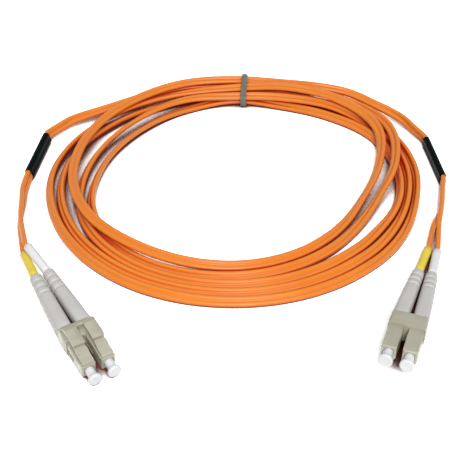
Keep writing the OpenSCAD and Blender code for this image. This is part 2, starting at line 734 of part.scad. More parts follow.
// ---- the named pieces ----
yellow = [0.90, 0.80, 0.18];
white = [0.93, 0.93, 0.93];
beige = [0.70, 0.67, 0.58];
module plug_housing_a1() { color(beige) in_plug(0) at_side(1) housing_one(); }
module plug_housing_a2() { color(beige) in_plug(0) at_side(-1) housing_one(); }
module plug_housing_b1() { color(beige) in_plug(1) at_side(1) housing_one(); }
module plug_housing_b2() { color(beige) in_plug(1) at_side(-1) housing_one(); }
module latch_arm_a1() { in_plug(0) at_side(1) latch_one(); }
module latch_arm_a2() { in_plug(0) at_side(-1) latch_one(); }
module latch_arm_b1() { in_plug(1) at_side(1) latch_one(); }
module latch_arm_b2() { in_plug(1) at_side(-1) latch_one(); }
module duplex_clip_a() { in_plug(0) clip_one(); }
module duplex_clip_b() { in_plug(1) clip_one(); }
module clip_trigger_a() { in_plug(0) trigger_one(); }
module clip_trigger_b() { in_plug(1) trigger_one(); }
module ferrule_a1() { in_plug(0) at_side(1) ferrule_one(); }
module ferrule_a2() { in_plug(0) at_side(-1) ferrule_one(); }
module ferrule_b1() { in_plug(1) at_side(1) ferrule_one(); }
module ferrule_b2() { in_plug(1) at_side(-1) ferrule_one(); }
module ferrule_flange_a1() { in_plug(0) at_side(1) flange_one(); }
module ferrule_flange_a2() { in_plug(0) at_side(-1) flange_one(); }
module ferrule_flange_b1() { in_plug(1) at_side(1) flange_one(); }
module ferrule_flange_b2() { in_plug(1) at_side(-1) flange_one(); }
module fibre_a1() { in_plug(0) at_side(1) fibre_one(); }
module fibre_a2() { in_plug(0) at_side(-1) fibre_one(); }
module fibre_b1() { in_plug(1) at_side(1) fibre_one(); }
module fibre_b2() { in_plug(1) at_side(-1) fibre_one(); }
module ferrule_spring_a1() { in_plug(0) at_side(1) spring_one(); }
module ferrule_spring_a2() { in_plug(0) at_side(-1) spring_one(); }
module ferrule_spring_b1() { in_plug(1) at_side(1) spring_one(); }
module ferrule_spring_b2() { in_plug(1) at_side(-1) spring_one(); }
module rear_body_a1() { in_plug(0) at_side(1) rear_body_one(); }
module rear_body_a2() { in_plug(0) at_side(-1) rear_body_one(); }
module rear_body_b1() { in_plug(1) at_side(1) rear_body_one(); }
module rear_body_b2() { in_plug(1) at_side(-1) rear_body_one(); }
module crimp_sleeve_a1() { in_plug(0) at_side(1) crimp_one($side = 1); }
module crimp_sleeve_a2() { in_plug(0) at_side(-1) crimp_one($side = -1); }
module crimp_sleeve_b1() { in_plug(1) at_side(1) crimp_one($side = 1); }
module crimp_sleeve_b2() { in_plug(1) at_side(-1) crimp_one($side = -1); }
module boot_a1() { in_plug(0) at_side(1) boot_one($side = 1); }
module boot_a2() { in_plug(0) at_side(-1) boot_one($side = -1); }
module boot_b1() { in_plug(1) at_side(1) boot_one($side = 1); }
module boot_b2() { in_plug(1) at_side(-1) boot_one($side = -1); }
module dust_cap_a1() { in_plug(0) at_side(1) cap_one(); }
module dust_cap_a2() { in_plug(0) at_side(-1) cap_one(); }
module dust_cap_b1() { in_plug(1) at_side(1) cap_one(); }
module dust_cap_b2() { in_plug(1) at_side(-1) cap_one(); }
module leg_a1() { leg_one(0, 1); }
module leg_a2() { leg_one(0, -1); }
module leg_b1() { leg_one(1, 1); }
module leg_b2() { leg_one(1, -1); }
module id_sleeve_a1() { sleeve_one(0, 1, white); }
module id_sleeve_a2() { sleeve_one(0, -1, yellow); }
module id_sleeve_b1() { sleeve_one(1, 1, yellow); }
module id_sleeve_b2() { sleeve_one(1, -1, white); }

coil();
lead_a();
lead_b();
tie();
heat_shrink_a();
heat_shrink_b();
duplex_clip_a();
duplex_clip_b();
clip_trigger_a();
clip_trigger_b();
plug_housing_a1();
plug_housing_a2();
plug_housing_b1();
plug_housing_b2();
latch_arm_a1();
latch_arm_a2();
latch_arm_b1();
latch_arm_b2();
ferrule_a1();
ferrule_a2();
ferrule_b1();
ferrule_b2();
ferrule_flange_a1();
ferrule_flange_a2();
ferrule_flange_b1();
ferrule_flange_b2();
fibre_a1();
fibre_a2();
fibre_b1();
fibre_b2();
ferrule_spring_a1();
ferrule_spring_a2();
ferrule_spring_b1();
ferrule_spring_b2();
rear_body_a1();
rear_body_a2();
rear_body_b1();
rear_body_b2();
crimp_sleeve_a1();
crimp_sleeve_a2();
crimp_sleeve_b1();
crimp_sleeve_b2();
boot_a1();
boot_a2();
boot_b1();
boot_b2();
dust_cap_a1();
dust_cap_a2();
dust_cap_b1();
dust_cap_b2();
leg_a1();
leg_a2();
leg_b1();
leg_b2();
id_sleeve_a1();
id_sleeve_a2();
id_sleeve_b1();
id_sleeve_b2();
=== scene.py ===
"""Duplex fibre optic patch cord: tied coil of zip cord with a latching duplex plug on each end.

Plug a lies latch up at the left, plug b latch down at the right. Sizes are in millimetres, in
each plug's own frame or in the plan of the coil, and become metres where a mesh is made.
"""
from math import asin, atan2, cos, pi, radians, sin, tan

import bmesh
import bpy
from mathutils import Matrix, Vector


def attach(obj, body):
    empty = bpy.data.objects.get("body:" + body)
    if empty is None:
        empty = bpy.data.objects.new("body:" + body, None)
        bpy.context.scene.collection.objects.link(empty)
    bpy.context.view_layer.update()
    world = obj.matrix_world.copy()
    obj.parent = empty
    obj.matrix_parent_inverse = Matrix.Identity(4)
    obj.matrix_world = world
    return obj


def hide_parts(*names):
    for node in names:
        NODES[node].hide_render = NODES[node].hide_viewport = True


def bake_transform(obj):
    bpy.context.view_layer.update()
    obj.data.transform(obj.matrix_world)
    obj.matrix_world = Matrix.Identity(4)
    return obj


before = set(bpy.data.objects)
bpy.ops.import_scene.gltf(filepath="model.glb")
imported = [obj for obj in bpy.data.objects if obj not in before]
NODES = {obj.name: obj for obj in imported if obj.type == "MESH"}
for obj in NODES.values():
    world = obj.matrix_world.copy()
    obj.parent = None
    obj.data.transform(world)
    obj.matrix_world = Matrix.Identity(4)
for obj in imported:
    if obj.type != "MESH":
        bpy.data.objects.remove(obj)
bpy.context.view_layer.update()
MM = 0.001

# ---- sizes of the cord, the same as the solids' ----
LEG_R = 0.9
ZIP_W = 3.7
HALF_ZIP = ZIP_W / 2 - LEG_R
WEB_HALF = 0.5
PITCH = 6.25
JACKET_LINES = 20.0
VALLEY_HALF = 0.35
PLAN_SHIFT = Vector((-2.05, 48.67, 0))

# ---- camera ----
EYE_DISTANCE = 350.0
EYE_ELEVATION = 39.5
LENS = 79.8


def make_camera():
    """Looks down at the middle of the plan, from the side of the two plugs."""
    data = bpy.data.cameras.new("camera")
    data.lens = LENS
    data.sensor_width = 36
    data.clip_start = 0.01
    camera = bpy.data.objects.new("camera", data)
    bpy.context.scene.collection.objects.link(camera)
    lift = radians(EYE_ELEVATION)
    away = Vector((0, -cos(lift), sin(lift))) * EYE_DISTANCE
    camera.location = (PLAN_SHIFT + away) * MM
    camera.rotation_euler = (-away).to_track_quat("-Z", "Y").to_euler()
    bpy.context.scene.camera = camera


make_camera()


# ---- curves ----
def unit(v):
    return v.normalized()


def outward(t):
    return unit(Vector((-t.y, t.x, 0)))


def mix(a, b, t):
    return a + (b - a) * t


def smooth_table(stations, values, x):
    """Hermite curve through a table, with slopes from the neighbours."""
    last = len(stations) - 1
    i = 0
    while i < last - 1 and x >= stations[i + 1]:
        i += 1

    def slope(k):
        low, high = max(0, k - 1), min(last, k + 1)
        return (values[high] - values[low]) / (stations[high] - stations[low])

    h = stations[i + 1] - stations[i]
    t = (x - stations[i]) / h
    return (values[i] * (1 + 2 * t) * (1 - t) ** 2 + slope(i) * h * t * (1 - t) ** 2
            + values[i + 1] * t * t * (3 - 2 * t) - slope(i + 1) * h * t * t * (1 - t))


def through(points, steps):
    """Catmull-Rom curve through points (vectors or numbers), its ends straight."""
    last = len(points) - 1

    def knot(i):
        if i < 0:
            return 2 * points[0] - points[1]
        if i > last:
            return 2 * points[last] - points[last - 1]
        return points[i]

    out = []
    for i in range(last):
        a, b, c, d = knot(i - 1), knot(i), knot(i + 1), knot(i + 2)
        for k in range(steps):
            t = k / steps
            out.append(0.5 * (2 * b + (c - a) * t + (2 * a - 5 * b + 4 * c - d) * t * t
                              + (3 * b - a - 3 * c + d) * t * t * t))
    out.append(points[last])
    return out


def heading(path, i):
    return unit(path[min(i + 1, len(path) - 1)] - path[max(i - 1, 0)])


def travelled(path):
    """Distance along a path at each of its points, in metres."""
    gone = [0.0]
    for a, b in zip(path, path[1:]):
        gone.append(gone[-1] + (b - a).length * MM)
    return gone


# ---- route of the coil, angles clockwise from its back ----
COIL_MIDDLE = Vector((2, 24, 0)) + PLAN_SHIFT
LOOPS = 5
STEPS_PER_LOOP = 120
TIE_AT = 4
TIE_LEAN = 20
TIE_R = 58.6
TIE_Z = 5.7
LANE_PITCH = 4.2
LAYER_GAP = 2.3
# the tied strands keep their slots from this angle to that, and widen a little after
TIED_BEFORE = 8
TIED_AFTER = 16
TIED_OUT = 0.4
COIL_FROM = -7.5
COIL_TO = 360 * LOOPS + 15
SLOT_SIDE = [1, 1, 0, 0, -1, -1]
SLOT_LOW = [0, 1, 0, 1, 0, 1]
LOOP_FROM = [2, 6, 5, 4, 3]
LANE_AT = [20, 40, 60, 80, 100, 120, 140, 180, 220, 250, 280, 310, 340]
LANE_R = [
    [64.8, 66.5, 67.3, 60.1, 52.0, 48.6, 48.3, 50.0, 52.5, 52.4, 49.8, 49.7, 53.3],
    [55.6, 58.0, 61.0, 60.5, 58.9, 55.5, 54.0, 54.1, 55.9, 56.3, 54.4, 54.0, 55.6],
    [56.6, 61.7, 64.2, 63.8, 61.7, 59.6, 58.2, 57.9, 59.8, 61.6, 62.8, 60.8, 59.8],
    [60.7, 63.4, 67.4, 67.0, 64.7, 63.7, 62.5, 61.8, 63.4, 65.2, 67.0, 64.3, 60.4],
    [59.3, 62.8, 62.6, 54.0, 46.7, 43.9, 43.5, 45.7, 50.2, 55.5, 59.3, 62.4, 63.4]]
LANE_LIFT = [
    [3.4, 3.9, 4.1, 3.6, 1.4, 0.2, 0.0, 0.0, 0.0, 0.0, 0.0, 0.0, 0.0],
    [0.1, 0.0, 0.0, 0.0, 0.2, 0.3, 0.2, 0.1, 0.1, 0.1, 0.5, 1.6, 3.2],
    [3.4, 2.6, 0.3, 0.0, 0.0, 0.0, 0.0, 0.0, 0.0, 0.0, 0.0, 0.0, 0.0],
    [2.5, 0.8, 0.1, 0.0, 0.0, 0.0, 0.0, 0.0, 0.0, 0.0, 0.1, 1.0, 3.2],
    [6.9, 6.2, 4.6, 2.4, 0.6, 0.0, 0.0, 0.9, 3.3, 4.2, 4.1, 4.7, 5.8]]
LEAN_OUTER = [28, 42, 54, 60, 54, 15, -18, -32, -40, -48, -55, -45, -5]
LEAN_FIRST = [22, 24, 28, 40, 46, 15, -16, -32, -40, -48, -55, -45, -5]
LEAN_LAST = [22, 24, 28, 40, 46, 15, -16, -32, -30, -15, -5, 5, 15]
LANE_LEAN = [LEAN_FIRST, LEAN_OUTER, LEAN_OUTER, LEAN_OUTER, LEAN_LAST]
# angle, radius, height and lean where the leads leave the bundle
LEAD_A = [(-62.0, 75.9, 2.6, 62), (-56.8, 74.3, 2.7, 40), (-45.7, 69.1, 3.0, 20),
          (-34, 65.9, 3.9, 20), (-21, 64.6, 4.9, 20)]
LEAD_B = [(30, 65.2, 7.9, 20), (40, 70.9, 6.3, 20), (50, 73.3, 5.0, 28), (55.2, 75.3, 4.1, 40),
          (59.4, 76.6, 3.4, 56), (63.8, 77.0, 2.8, 76)]


def slot_r(n):
    return (TIE_R + SLOT_SIDE[n - 1] * LANE_PITCH * cos(radians(TIE_LEAN))
            + SLOT_LOW[n - 1] * LAYER_GAP * sin(radians(TIE_LEAN)))


def slot_z(n):
    return (TIE_Z + SLOT_SIDE[n - 1] * LANE_PITCH * sin(radians(TIE_LEAN))
            - SLOT_LOW[n - 1] * LAYER_GAP * cos(radians(TIE_LEAN)))


def floor_z(lean):
    """Height of the zip cord's middle when it rests on the floor at this lean."""
    return LEG_R + HALF_ZIP * abs(sin(radians(lean)))


def coil_stations():
    """Angle, radius, lean and lift at each station of the whole cord."""
    end = 360 * LOOPS
    rows = [(a, r, lean, z - floor_z(lean)) for a, r, z, lean in LEAD_A]
    tied = floor_z(TIE_LEAN)
    rows.append((-TIED_BEFORE, slot_r(2), TIE_LEAN, slot_z(2) - tied))
    for k, n in enumerate(LOOP_FROM):
        rows.append((360 * k, slot_r(n), TIE_LEAN, slot_z(n) - tied))
        for a, r, lean, lift in zip(LANE_AT, LANE_R[k], LANE_LEAN[k], LANE_LIFT[k]):
            rows.append((360 * k + a, r, lean, lift))
    rows.append((end, slot_r(1), TIE_LEAN, slot_z(1) - tied))
    rows.append((end + TIED_AFTER, slot_r(1) + TIED_OUT, TIE_LEAN, slot_z(1) - tied))
    rows += [(end + a, r, lean, z - floor_z(lean)) for a, r, z, lean in LEAD_B]
    return [list(column) for column in zip(*rows)]


WAY_AT, WAY_R, WAY_LEAN, WAY_LIFT = coil_stations()


def way_lean(a):
    return smooth_table(WAY_AT, WAY_LEAN, a)


def way_point(a):
    r = smooth_table(WAY_AT, WAY_R, a)
    z = floor_z(way_lean(a)) + max(0, smooth_table(WAY_AT, WAY_LIFT, a))
    return COIL_MIDDLE + Vector((r * sin(radians(a)), r * cos(radians(a)), z))


# ---- heat-shrinks: near end and far end, and how far each rolls on to its edge ----
SHRINK_LEN = 24.2
SHRINK_ROOM = 0.08
SHRINK_WALL = 0.27
SHRINK_Z = HALF_ZIP + 2 * SHRINK_ROOM + LEG_R + SHRINK_WALL + 0.05
SHRINK_ROLL = {"a": 70, "b": 90}


def shrink_ends(x, y, direction):
    near = Vector((x, y, SHRINK_Z)) + PLAN_SHIFT
    ahead = Vector((cos(radians(direction)), sin(radians(direction)), 0))
    return near, near + ahead * SHRINK_LEN


SHRINK = {"a": shrink_ends(-69.6, 52.5, -97.8), "b": shrink_ends(75.0, 49.8, -84)}
SHRINK_MIDDLE = 0.49
LEAD_STRAIGHT = 0.09
LEAD_STEPS = 10


def lead(start, knots, end):
    """Path and leans of a lead, from the coil's end to the middle of its heat-shrink."""
    near, far = SHRINK[end]
    middles = [way_point(start)] + [way_point(angle) for angle, lean in knots]
    middles += [mix(near, far, -LEAD_STRAIGHT), near, mix(near, far, SHRINK_MIDDLE)]
    leans = [TIE_LEAN] + [lean for angle, lean in knots] + [SHRINK_ROLL[end]] * 3
    return through(middles, LEAD_STEPS), through([float(v) for v in leans], LEAD_STEPS)


def zip_route():
    """Middle line and lean of the zip cord, from heat-shrink a to heat-shrink b."""
    knots_a = [(p[0], p[3]) for p in reversed(LEAD_A)]
    knots_b = [(360 * LOOPS + p[0], p[3]) for p in LEAD_B]
    path_a, lean_a = lead(COIL_FROM, knots_a, "a")
    path_b, lean_b = lead(COIL_TO, knots_b, "b")
    count = round((COIL_TO - COIL_FROM) / 360 * STEPS_PER_LOOP)
    angles = [mix(COIL_FROM, COIL_TO, i / count) for i in range(1, count)]
    path = path_a[::-1] + [way_point(a) for a in angles] + path_b
    leans = lean_a[::-1] + [way_lean(a) for a in angles] + lean_b
    return path, leans


# ---- plugs: where each nose front lies, and how it is turned ----
PLUG_AT = {"a": Vector((-38.0, -66.2, 2.55)), "b": Vector((49.3, -65.9, 7.0))}
PLUG_TURN = {"a": (0, 4.1, -59.2), "b": (180, -6.0, -109.5)}
ENDS = ("a", "b")
SIDES = {"1": 1, "2": -1}
CLIP_REAR = 16.3
BOOT_FRONT = CLIP_REAR + 0.2
BOOT_LEN = 25.8
BOOT_REAR = BOOT_FRONT + BOOT_LEN
TOE_IN = 2.2
TOE_X = 18.5
LEG_END = 20.7
CRIMP_REAR = 23.0
SLEEVE_GAP = 0.5
SLEEVE_LEN = 12.5
SLEEVE_ROOM = 0.1
SLEEVE_EDGE = 0.06
SLEEVE_WAIST = 0.02
STRAIGHT_PAST_SLEEVE = 1.8
LEG_APART = 0.05
LEG_STEPS = 3
SLEEVE_R = 1.5
SLEEVE_WAY = {
    "a": (Vector((-12.4, -1.5, 1.5)), Vector((-12.4, 1.3, -1.3))),
    "b": (Vector((-12.5, -0.6, -0.9)), Vector((-12.5, 0.6, -0.9)))}
# middle of the two legs between sleeves and heat-shrink: plan, half spread, turn
TWIST = {
    "a": [(-70.6, -4.0, 5.3, 1.05, 108), (-71.7, 3.5, 4.3, 1.0, 92), (-72.4, 11.1, 3.4, 1.0, 74),
          (-73.3, 19.4, 2.5, 1.0, 64)],
    "b": [(71.2, -0.1, 2.2, 1.1, 140), (73.7, 6.8, 2.3, 1.0, 98), (75.5, 13.9, 2.3, 1.0, 82),
          (76.7, 20.3, 2.3, 1.0, 86)]}


def plug_matrix(end, side=0):
    """From a plug's own frame in millimetres to the row frame, still in millimetres."""
    rx, ry, rz = (radians(v) for v in PLUG_TURN[end])
    turned = Matrix.Rotation(rz, 4, "Z") @ Matrix.Rotation(ry, 4, "Y") @ Matrix.Rotation(rx, 4, "X")
    return (Matrix.Translation(PLUG_AT[end] + PLAN_SHIFT) @ turned
            @ Matrix.Translation((0, side * PITCH / 2, 0)))


def toed(side):
    """Lean of a boot towards its neighbour, about a point behind the clip."""
    return (Matrix.Translation((-TOE_X, 0, 0)) @ Matrix.Rotation(radians(side * TOE_IN), 4, "Z")
            @ Matrix.Translation((TOE_X, 0, 0)))


def boot_off():
    return PITCH / 2 - (BOOT_REAR - TOE_X) * tan(radians(TOE_IN))


def sleeve_dir(end, side):
    return unit(SLEEVE_WAY[end][0 if side > 0 else 1])


def leg_start(end, side):
    """The leg inside its boot and its ID sleeve, in the row frame."""
    inner_y = PITCH / 2 - (LEG_END - TOE_X) * tan(radians(TOE_IN))
    inner = Vector((-LEG_END, side * inner_y, 0))
    rear = Vector((-BOOT_REAR, side * boot_off(), 0))
    sleeve_end = SLEEVE_GAP + SLEEVE_LEN
    q = [rear + sleeve_dir(end, side) * d
         for d in (SLEEVE_GAP, sleeve_end, sleeve_end + STRAIGHT_PAST_SLEEVE)]
    points = [inner, mix(inner, rear, 0.5), rear, q[0], mix(q[0], q[1], 0.5), q[1], q[2]]
    return [plug_matrix(end) @ p for p in points]


def leg_route(end, side):
    """Middle line of one leg, from its crimp to the middle of the heat-shrink."""
    start, other = leg_start(end, side), leg_start(end, -side)
    hand = -side if end == "a" else side
    middle = (start[-1] + other[-1]) / 2
    twist = [(Vector(row[:3]) + PLAN_SHIFT, row[3], row[4]) for row in TWIST[end]]
    first = unit(twist[0][0] - middle)
    o = outward(first)
    gap = (middle - start[-1]) * hand
    turn = (atan2(gap.dot(first.cross(o)), gap.dot(o)) * 180 / pi + 360) % 360
    near, far = SHRINK[end]
    roll = SHRINK_ROLL[end] if end == "a" else 180 - SHRINK_ROLL[end]
    rows = [(middle, gap.length, turn)] + twist
    rows += [(p, HALF_ZIP + LEG_APART, roll) for p in (far, mix(far, near, SHRINK_MIDDLE))]
    middles = through([row[0] for row in rows], LEG_STEPS)
    spreads = through([float(row[1]) for row in rows], LEG_STEPS)
    turns = through([float(row[2]) for row in rows], LEG_STEPS)
    free = []
    for i in range(1, len(middles)):
        t = heading(middles, i)
        o = outward(t)
        spin = radians(turns[i])
        free.append(middles[i] - (o * cos(spin) + t.cross(o) * sin(spin)) * spreads[i] * hand)
    return through(start + free, LEG_STEPS)


# ---- meshes ----
SHARP_RING_EDGE = 50


def link(name, mesh, material):
    piece = bpy.data.objects.new(name, mesh)
    bpy.context.scene.collection.objects.link(piece)
    if material is not None:
        mesh.materials.append(material)
    return piece


def place(points, matrix=None):
    """Row-frame metres from millimetres, through an optional matrix."""
    return [(matrix @ p if matrix else p) * MM for p in points]


def rings_mesh(name, rings, closed=False):
    """Mesh through rings of equal count. The ends get a fan, or meet where closed."""
    count, m = len(rings), len(rings[0])
    points = [p for ring in rings for p in ring]
    faces = []
    for i in range(count if closed else count - 1):
        k = (i + 1) % count
        for j in range(m):
            n = (j + 1) % m
            faces.append((i * m + j, i * m + n, k * m + n, k * m + j))
    if not closed:
        faces.append(tuple(range(m))[::-1])
        faces.append(tuple((count - 1) * m + j for j in range(m)))
    mesh = bpy.data.meshes.new(name)
    mesh.from_pydata([tuple(p) for p in points], [], faces)
    bm = bmesh.new()
    bm.from_mesh(mesh)
    bmesh.ops.recalc_face_normals(bm, faces=bm.faces)
    bm.to_mesh(mesh)
    bm.free()
    mesh.shade_smooth()
    mesh.set_sharp_from_angle(angle=radians(SHARP_RING_EDGE))
    return mesh


def point_values(mesh, name, values):
    layer = mesh.attributes.new(name, "FLOAT", "POINT")
    layer.data.foreach_set("value", values)


def jacket_values(mesh, path, sides, lines):
    """Where each point lies along and round the jacket, for its extrusion lines."""
    point_values(mesh, "along", [g for g in travelled(path) for _ in range(sides)])
    point_values(mesh, "across", [lines * k / sides for k in range(sides)] * len(path))


def circle(r, count, start=0.0):
    return [(r * cos(2 * pi * (j + start) / count), r * sin(2 * pi * (j + start) / count))
            for j in range(count)]


def turned_rings(profile, count):
    """Rings about the plug axis from a profile of (distance behind the nose front, radius)."""
    return [[Vector((-x, y, z)) for y, z in circle(r, count)] for x, r in profile]


def sweep_rings(path, sections, side_of):
    """Rings along a path. side_of gives the section's first axis at a point of it."""
    rings = []
    for i, c in enumerate(path):
        t = heading(path, i)
        w = side_of(t, i)
        n = t.cross(w)
        rings.append([c + w * x + n * y for x, y in sections])
    return rings


ARC_STEPS = 14


def zip_section():
    """Two round legs and the thin web between them."""
    open_angle = asin(WEB_HALF / LEG_R)
    arc = [mix(-(pi - open_angle), pi - open_angle, k / ARC_STEPS) for k in range(ARC_STEPS + 1)]
    right = [(HALF_ZIP + LEG_R * cos(a), LEG_R * sin(a)) for a in arc]
    return right + [(-x, -y) for x, y in right]


# ---- shared shader effects ----
def socket_in(group, name, kind, value=None):
    socket = group.interface.new_socket(name, in_out="INPUT", socket_type=kind)
    if value is not None:
        socket.default_value = value
    return socket


def make_grain():
    """Broad mottling, and the fine height of a moulded or extruded surface."""
    group = bpy.data.node_groups.new("moulded_grain", "ShaderNodeTree")
    socket_in(group, "Vector", "NodeSocketVector")
    socket_in(group, "Broad scale", "NodeSocketFloat", 80.0)
    socket_in(group, "Fine scale", "NodeSocketFloat", 2500.0)
    group.interface.new_socket("Mottle", in_out="OUTPUT", socket_type="NodeSocketFloat")
    group.interface.new_socket("Height", in_out="OUTPUT", socket_type="NodeSocketFloat")
    nodes, links = group.nodes, group.links
    inside = nodes.new("NodeGroupInput")
    outside = nodes.new("NodeGroupOutput")
    for label, detail, scale in (("Mottle", 3.0, "Broad scale"), ("Height", 2.0, "Fine scale")):
        noise = nodes.new("ShaderNodeTexNoise")
        noise.inputs["Detail"].default_value = detail
        noise.inputs["Roughness"].default_value = 0.55
        links.new(inside.outputs["Vector"], noise.inputs["Vector"])
        links.new(inside.outputs[scale], noise.inputs["Scale"])
        spread = nodes.new("ShaderNodeMapRange")
        spread.inputs["From Min"].default_value = 0.3
        spread.inputs["From Max"].default_value = 0.7
        links.new(noise.outputs["Fac"], spread.inputs["Value"])
        links.new(spread.outputs["Result"], outside.inputs[label])
    return group


GRAIN = make_grain()


class Finish:
    """A material with a Principled shader, and short ways to wire it."""

    def __init__(self, name, **values):
        self.material = bpy.data.materials.new(name)
        self.material.use_nodes = True
        self.tree = self.material.node_tree
        self.shader = self.tree.nodes["Principled BSDF"]
        for key, value in values.items():
            self.shader.inputs[key.replace("_", " ")].default_value = value

    def node(self, kind, **settings):
        made = self.tree.nodes.new(kind)
        for key, value in settings.items():
            setattr(made, key, value)
        return made

    def link(self, output, target):
        self.tree.links.new(output, target)

    def object_vector(self):
        return self.node("ShaderNodeTexCoord").outputs["Object"]

    def attribute(self, name):
        return self.node("ShaderNodeAttribute", attribute_name=name).outputs["Fac"]

    def grain(self, vector, broad, fine):
        made = self.node("ShaderNodeGroup", node_tree=GRAIN)
        made.inputs["Broad scale"].default_value = broad
        made.inputs["Fine scale"].default_value = fine
        self.link(vector, made.inputs["Vector"])
        return made

    def blend_colour(self, mask, first, second):
        """A colour between first and second, each a colour or a socket."""
        made = self.node("ShaderNodeMix", data_type="RGBA")
        self.link(mask, made.inputs[0])
        for value, target in ((first, made.inputs[6]), (second, made.inputs[7])):
            if isinstance(value, tuple):
                target.default_value = value + (1,)
            else:
                self.link(value, target)
        return made.outputs[2]

    def ranged(self, value, low, high, from_low=0.0, from_high=1.0):
        made = self.node("ShaderNodeMapRange")
        made.inputs["From Min"].default_value = from_low
        made.inputs["From Max"].default_value = from_high
        made.inputs["To Min"].default_value = low
        made.inputs["To Max"].default_value = high
        self.link(value, made.inputs["Value"])
        return made.outputs["Result"]

    def crowding(self, distance_mm, shut, opened):
        """0 in the open, 1 where neighbours within the distance shut the surface in: the mask of
        painted shade.
        """
        reach = self.node("ShaderNodeAmbientOcclusion", samples=12)
        reach.inputs["Distance"].default_value = distance_mm * MM
        return self.ranged(reach.outputs["AO"], 1.0, 0.0, shut, opened)

    def bump(self, height, strength, distance_mm):
        made = self.node("ShaderNodeBump")
        made.inputs["Strength"].default_value = strength
        made.inputs["Distance"].default_value = distance_mm * MM
        self.link(height, made.inputs["Height"])
        self.link(made.outputs["Normal"], self.shader.inputs["Normal"])

    def colour(self, output):
        self.link(output, self.shader.inputs["Base Color"])

    def roughness(self, output):
        self.link(output, self.shader.inputs["Roughness"])


JACKET_TONES = ((0.75, 0.212, 0.015), (0.81, 0.246, 0.023))
LINE_TONE = (0.76, 0.160, 0.010)
# painted shade: the dark red laid into the valley between the zip cord's two legs
VALLEY_PAINTED_SHADE = (0.45, 0.07, 0.006)
# painted shade and bounce light: the colour of the jacket's crevices, darker and redder
CREVICE_PAINTED_SHADE = (0.55, 0.022, 0.007)
CREVICE_REACH = 7.0
CREVICE_SHUT = 0.20
CREVICE_OPEN = 0.76


def jacket(name, valley):
    """Orange extruded jacket. The zip cord's has a valley between its legs, with painted shade in
    it, and painted shade and bounce light in its crevices: they turn darker and redder, as light
    thrown from one jacket to the next makes them."""
    f = Finish(name, Specular_IOR_Level=0.3, Coat_Weight=0.12, Coat_Roughness=0.3)
    grain = f.grain(f.object_vector(), 60.0, 3500.0)
    along = f.node("ShaderNodeCombineXYZ")
    f.link(f.attribute("along"), along.inputs[0])
    f.link(f.attribute("across"), along.inputs[1])
    lines = f.grain(along.outputs[0], 40.0, 9.0)
    tone = f.blend_colour(grain.outputs["Mottle"], *JACKET_TONES)
    tone = f.blend_colour(f.ranged(lines.outputs["Mottle"], 0.0, 0.25), tone, LINE_TONE)
    if valley:
        # painted shade in the valley between the two legs
        valley_shade = f.ranged(f.attribute("valley"), 0.0, 0.3)
        tone = f.blend_colour(valley_shade, tone, VALLEY_PAINTED_SHADE)
        # painted shade and bounce light: ambient occlusion darkens and reddens the colour where
        # neighbours crowd the jacket
        crevice_shade = f.crowding(CREVICE_REACH, CREVICE_SHUT, CREVICE_OPEN)
        tone = f.blend_colour(crevice_shade, tone, CREVICE_PAINTED_SHADE)
    f.colour(tone)
    f.roughness(f.ranged(grain.outputs["Mottle"], 0.34, 0.44))
    f.bump(lines.outputs["Height"], 0.25, 0.02)
    return f.material


def moulded(name, dark, light, rough, broad=120.0, fine=2600.0, bump_mm=0.012, **values):
    """A moulded plastic with a faint mottle and a fine matt skin."""
    f = Finish(name, **values)
    grain = f.grain(f.object_vector(), broad, fine)
    f.colour(f.blend_colour(grain.outputs["Mottle"], dark, light))
    f.roughness(f.ranged(grain.outputs["Mottle"], rough - 0.05, rough + 0.05))
    f.bump(grain.outputs["Height"], 0.3, bump_mm)
    return f.material


def metal(name, dark, light, rough, lines):
    """A turned or drawn metal: a fine grain, a little tarnish."""
    f = Finish(name, Metallic=1.0)
    grain = f.grain(f.object_vector(), 300.0, lines)
    f.colour(f.blend_colour(grain.outputs["Mottle"], dark, light))
    f.roughness(f.ranged(grain.outputs["Mottle"], rough - 0.06, rough + 0.06))
    f.bump(grain.outputs["Height"], 0.2, 0.01)
    return f.material


ZIP_JACKET = jacket("orange_zip_jacket", True)
LEG_JACKET = jacket("orange_leg_jacket", False)
BEIGE = moulded("beige_plug_plastic", (0.36, 0.345, 0.268), (0.41, 0.395, 0.312), 0.32,
                Coat_Weight=0.12, Coat_Roughness=0.2)
BOOT_GREY = moulded("grey_boot_rubber", (0.50, 0.49, 0.48), (0.57, 0.56, 0.55), 0.5)
CAP_WHITE = moulded("white_cap_plastic", (0.71, 0.74, 0.77), (0.77, 0.79, 0.82), 0.35,
                    Subsurface_Weight=0.25, Subsurface_Scale=0.002)
SLEEVE_WHITE = moulded("white_sleeve_plastic", (0.71, 0.715, 0.75), (0.77, 0.77, 0.80), 0.38)
SLEEVE_YELLOW = moulded("yellow_sleeve_plastic", (0.72, 0.54, 0.03), (0.80, 0.64, 0.06), 0.35)
SHRINK_BLACK = moulded("black_heat_shrink", (0.001, 0.003, 0.004), (0.003, 0.006, 0.007), 0.42,
                       broad=200.0, fine=1200.0, bump_mm=0.03, Specular_IOR_Level=0.02)
TIE_GREY = moulded("grey_tie_paper", (0.10, 0.115, 0.085), (0.17, 0.18, 0.14), 0.55, broad=500.0)
CERAMIC = moulded("ferrule_ceramic", (0.86, 0.86, 0.83), (0.90, 0.90, 0.88), 0.12, bump_mm=0.002)
BUFFER = moulded("fibre_buffer", (0.84, 0.84, 0.80), (0.90, 0.90, 0.88), 0.3)
NICKEL = metal("nickel_flange", (0.62, 0.60, 0.54), (0.74, 0.72, 0.66), 0.28, 4000.0)
SPRING_STEEL = metal("spring_steel", (0.50, 0.51, 0.53), (0.64, 0.65, 0.67), 0.24, 3000.0)
CRIMP = metal("crimp_aluminium", (0.66, 0.66, 0.68), (0.78, 0.78, 0.80), 0.34, 1800.0)


